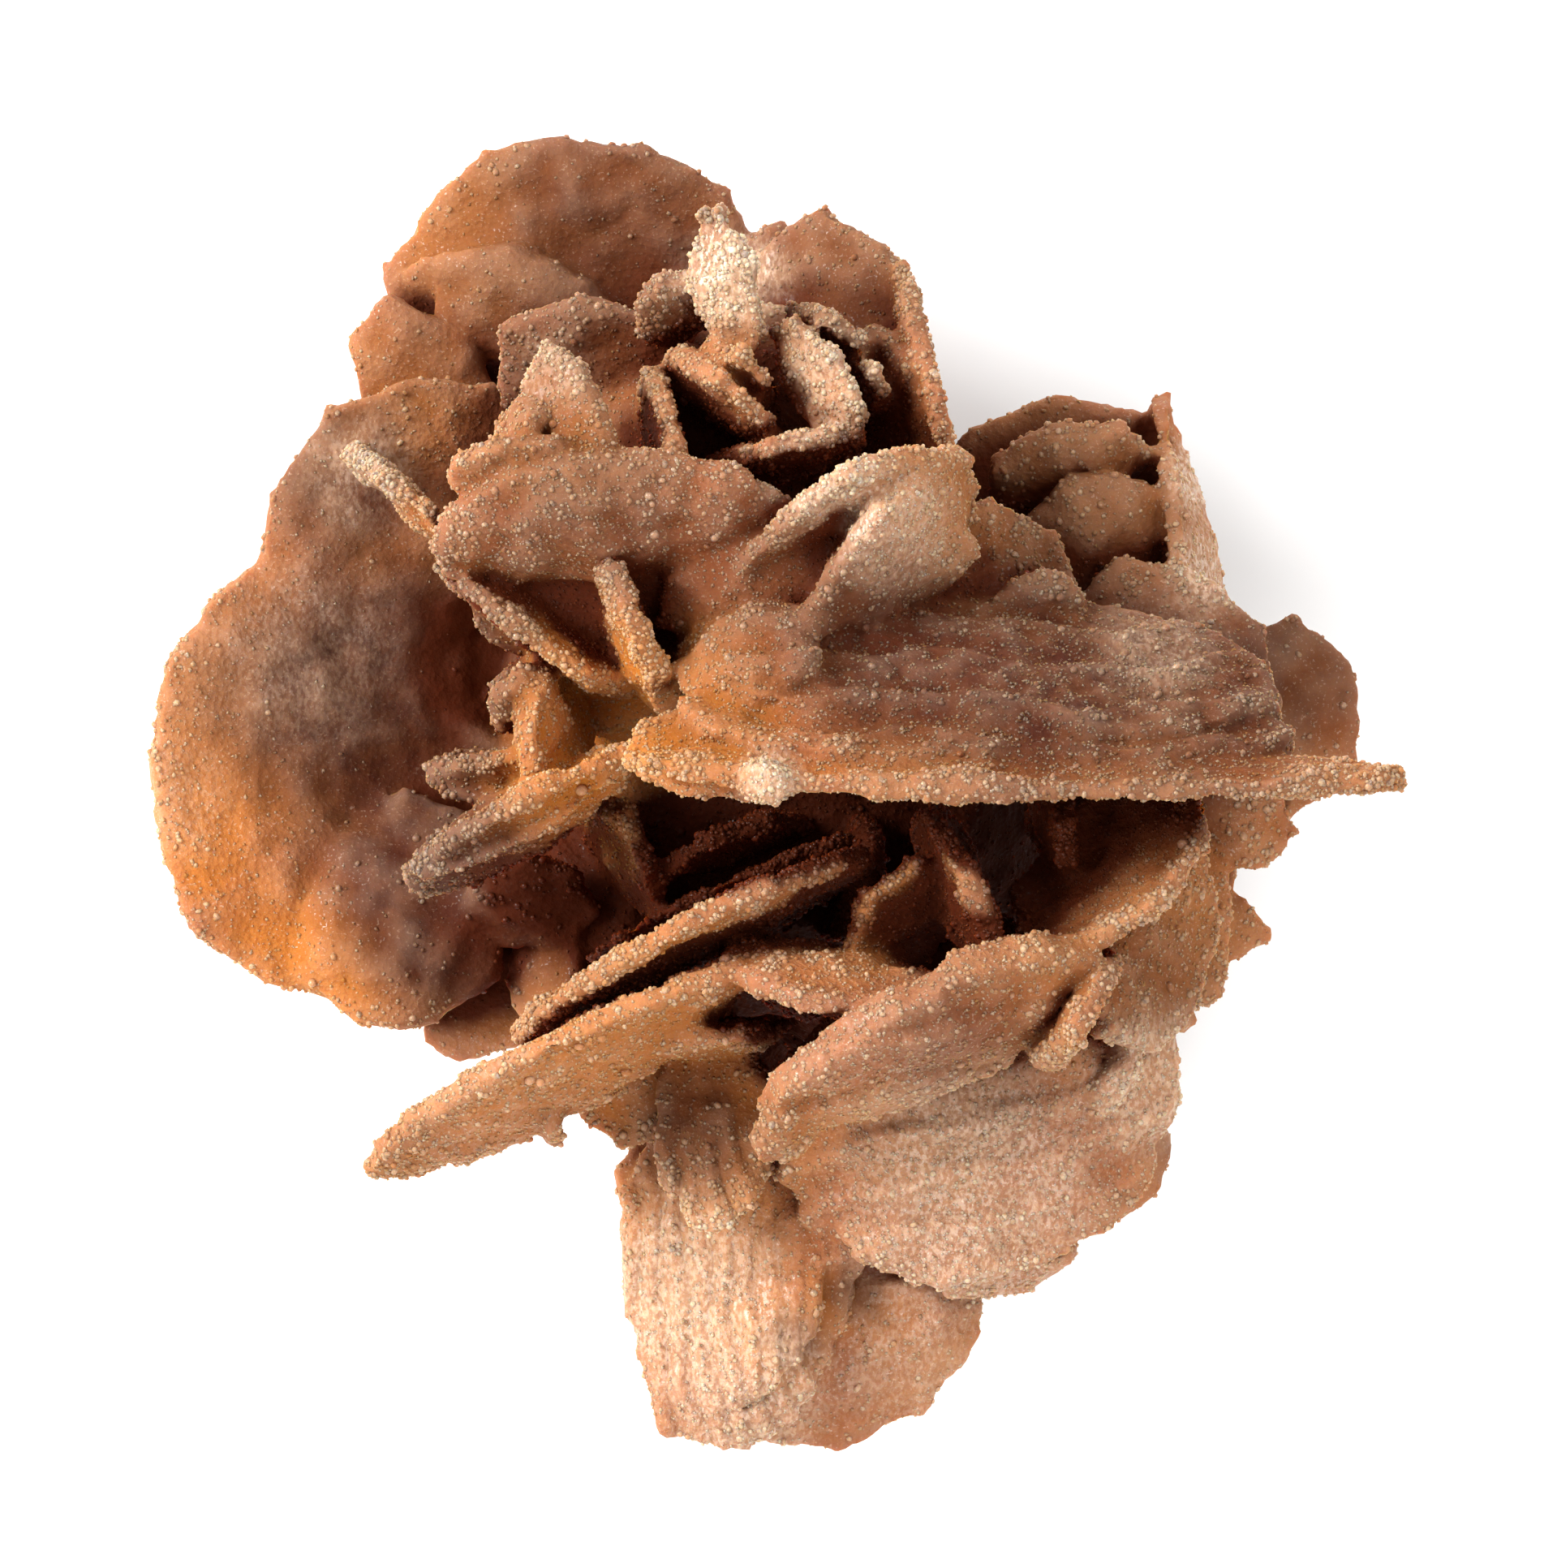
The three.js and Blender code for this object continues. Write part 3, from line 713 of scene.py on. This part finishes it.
def lay_grains(name, chance, count, radius, sunk, seed, roundness=1):
    """Sets grains into the crystals' surface, joined in one piece."""
    mesh = cluster_mesh()
    draws = np.random.default_rng(seed)
    corners, faces = grain_shape(roundness)
    points, ups, picked = scatter(mesh, chance, count, draws)
    sizes = radius * np.exp(draws.normal(0, GRAIN["spread"], count)).clip(*GRAIN["range"])
    points = points + ups * (sizes * (1 - 2 * sunk))[:, None]
    points[:, 2] = np.maximum(points[:, 2], LOW.z + 1.4 * sizes)
    stretch = draws.uniform(0.85, 1.15, (count, 1, 3))
    local = corners[None] * stretch * sizes[:, None, None]
    places = np.einsum("nij,nkj->nki", turns(count, draws), local) + points[:, None]
    offsets = (np.arange(count) * len(corners))[:, None, None]
    joined = bpy.data.meshes.new(name)
    joined.from_pydata(places.reshape(-1, 3), [], (faces[None] + offsets).reshape(-1, faces.shape[1]))
    grains = bpy.data.objects.new(name, joined)
    bpy.context.collection.objects.link(grains)
    # Each grain takes the painted shade, the painted glow and the marks of the place it sits on.
    for known in SURVEY:
        values = read_attribute(mesh, known)[picked].mean(axis=1)
        if known == "shade":
            values = draws.uniform(0, 1, count)
        keep_attribute(joined, known, np.repeat(values, len(corners)))
    select_only(grains)
    bpy.ops.object.shade_smooth()
    finish_piece(grains, bpy.data.objects[CLUSTER].active_material)


def cluster_mesh():
    return bpy.data.objects[CLUSTER].data


def clean_plate(mesh):
    """How much each place lies in the marks of the clean, smooth middles of thick plates and of painted
    shade, which hold no sand, below the high blades.
    """
    height = share_of_height(vertex_array(mesh, "co"))
    return read_attribute(mesh, "plate_and_shade") * (1 - smooth_step(height, 0.5, 0.75))


class SANDROSE_OT_beads(Operator):
    """Lines the blades' rims with sand grains"""

    bl_idname = "sandrose.beads"
    bl_label = "Rim beads"

    def execute(self, context):
        sizes = context.scene.sand_rose_sizes
        mesh = cluster_mesh()
        front = smooth_step(share_of_height(vertex_array(mesh, "co")), 0.34, 0.6)
        rim = read_attribute(mesh, "rim")
        thin = read_attribute(mesh, "thin")
        bare = 1 - 0.7 * clean_plate(mesh)
        chance = {
            "beads_of_thin_rims": rim**2 * thin * front + 1e-6,
            "beads_of_blunt_rims": rim**2 * (front + 0.2) * bare + 1e-6,
        }
        for seed, (name, weight) in enumerate(chance.items(), start=1):
            lay_grains(name, weight, sizes.beads, sizes.bead, 0.5, seed)
        return {"FINISHED"}


class SANDROSE_OT_sugar(Operator):
    """Sprinkles fine sand over the faces and a few loose crumbs into the hollows"""

    bl_idname = "sandrose.sugar"
    bl_label = "Sand and crumbs"

    def execute(self, context):
        sizes = context.scene.sand_rose_sizes
        mesh = cluster_mesh()
        front = smooth_step(share_of_height(vertex_array(mesh, "co")), 0.3, 0.7)
        facing = smooth_step(vertex_array(mesh, "normal")[:, 2], -0.2, 0.6)
        sandy = 1 - 0.9 * clean_plate(mesh)
        chance = {
            "sugar_of_front": front * facing * sandy + 1e-6,
            "sugar_all_round": (0.6 * front + 0.4) * sandy,
        }
        for seed, (name, weight) in enumerate(chance.items(), start=11):
            lay_grains(name, weight, sizes.sugars, sizes.sugar, 0.5, seed, roundness=0)
        resting = front * facing**2 + 1e-6
        lay_grains("crumbs", resting, sizes.crumbs, sizes.crumb, 0.45, 21, roundness=2)
        return {"FINISHED"}


# The stage.
class SANDROSE_OT_stage(Operator):
    """Sets the pale floor, the soft studio light and the camera that looks straight down"""

    bl_idname = "sandrose.stage"
    bl_label = "Stage"

    def execute(self, context):
        self.floor(context)
        self.lights(context)
        self.camera(context)
        return {"FINISHED"}

    def floor(self, context):
        bpy.ops.object.select_all(action="DESELECT")
        bpy.ops.mesh.primitive_plane_add(size=4, location=(0, 0, LOW.z))
        floor = context.active_object
        floor.name = "floor"
        material, wire = new_material("pale_floor")
        inputs = {"Base Color": rgba(context.scene.sand_rose_colours.floor), "Roughness": 0.9}
        shader = wire.node("ShaderNodeBsdfPrincipled", {}, inputs)
        wire.node("ShaderNodeOutputMaterial", {}, {"Surface": shader})
        floor.data.materials.append(material)

    def lights(self, context):
        middle = (LOW + HIGH) / 2
        for name, (place, size, power) in LAMPS.items():
            light = bpy.data.lights.new(name, "AREA")
            light.size = size
            light.energy = power
            lamp = bpy.data.objects.new(name, light)
            lamp.location = middle + Vector(place)
            lamp.rotation_euler = (-Vector(place)).to_track_quat("-Z", "Y").to_euler()
            context.collection.objects.link(lamp)
        world = bpy.data.worlds.new("studio")
        world.use_nodes = True
        background = world.node_tree.nodes["Background"]
        for name, value in SKY.items():
            background.inputs[name].default_value = value
        context.scene.world = world
        context.scene.view_settings.view_transform = "Standard"

    def camera(self, context):
        """Looks straight down, so that the whole rose fills most of the frame."""
        focus_height = 28 * MM  # the level that the half frame is measured at
        distance = 420 * MM
        half_frame = 48.3 * MM
        offset = Vector((0.95, 0.66, 0)) * MM  # from the middle of the box to the middle of the frame
        camera = bpy.data.cameras.new("camera")
        camera.sensor_width = 36
        camera.sensor_height = 36
        camera.sensor_fit = "VERTICAL"
        camera.lens = camera.sensor_height / 2 * distance / half_frame
        camera.clip_start = 10 * MM
        view = bpy.data.objects.new("camera", camera)
        middle = (LOW + HIGH) / 2
        view.location = (middle.x + offset.x, middle.y + offset.y, LOW.z + focus_height + distance)
        context.collection.objects.link(view)
        context.scene.camera = view


class SANDROSE_PT_panel(Panel):
    """Lists the steps that build the rose's looks"""

    bl_idname = "SANDROSE_PT_panel"
    bl_label = "Sand rose"
    bl_space_type = "VIEW_3D"
    bl_region_type = "UI"
    bl_category = "Sand rose"

    def draw(self, context):
        for step in STEPS:
            self.layout.operator(step.bl_idname)
        for group in (context.scene.sand_rose_sizes, context.scene.sand_rose_colours):
            for name in group.__annotations__:
                self.layout.prop(group, name)


STEPS = (SANDROSE_OT_stage, SANDROSE_OT_crystals, SANDROSE_OT_beads, SANDROSE_OT_sugar)
CLASSES = (SandRoseSizes, SandRoseColours, *STEPS, SANDROSE_PT_panel)


def register():
    for each in CLASSES:
        bpy.utils.register_class(each)
    bpy.types.Scene.sand_rose_sizes = PointerProperty(type=SandRoseSizes)
    bpy.types.Scene.sand_rose_colours = PointerProperty(type=SandRoseColours)


def unregister():
    del bpy.types.Scene.sand_rose_colours
    del bpy.types.Scene.sand_rose_sizes
    for each in reversed(CLASSES):
        bpy.utils.unregister_class(each)


def main():
    register()
    bpy.ops.sandrose.stage()
    bpy.ops.sandrose.crystals()
    bpy.ops.sandrose.beads()
    bpy.ops.sandrose.sugar()


if __name__ == "__main__":
    main()
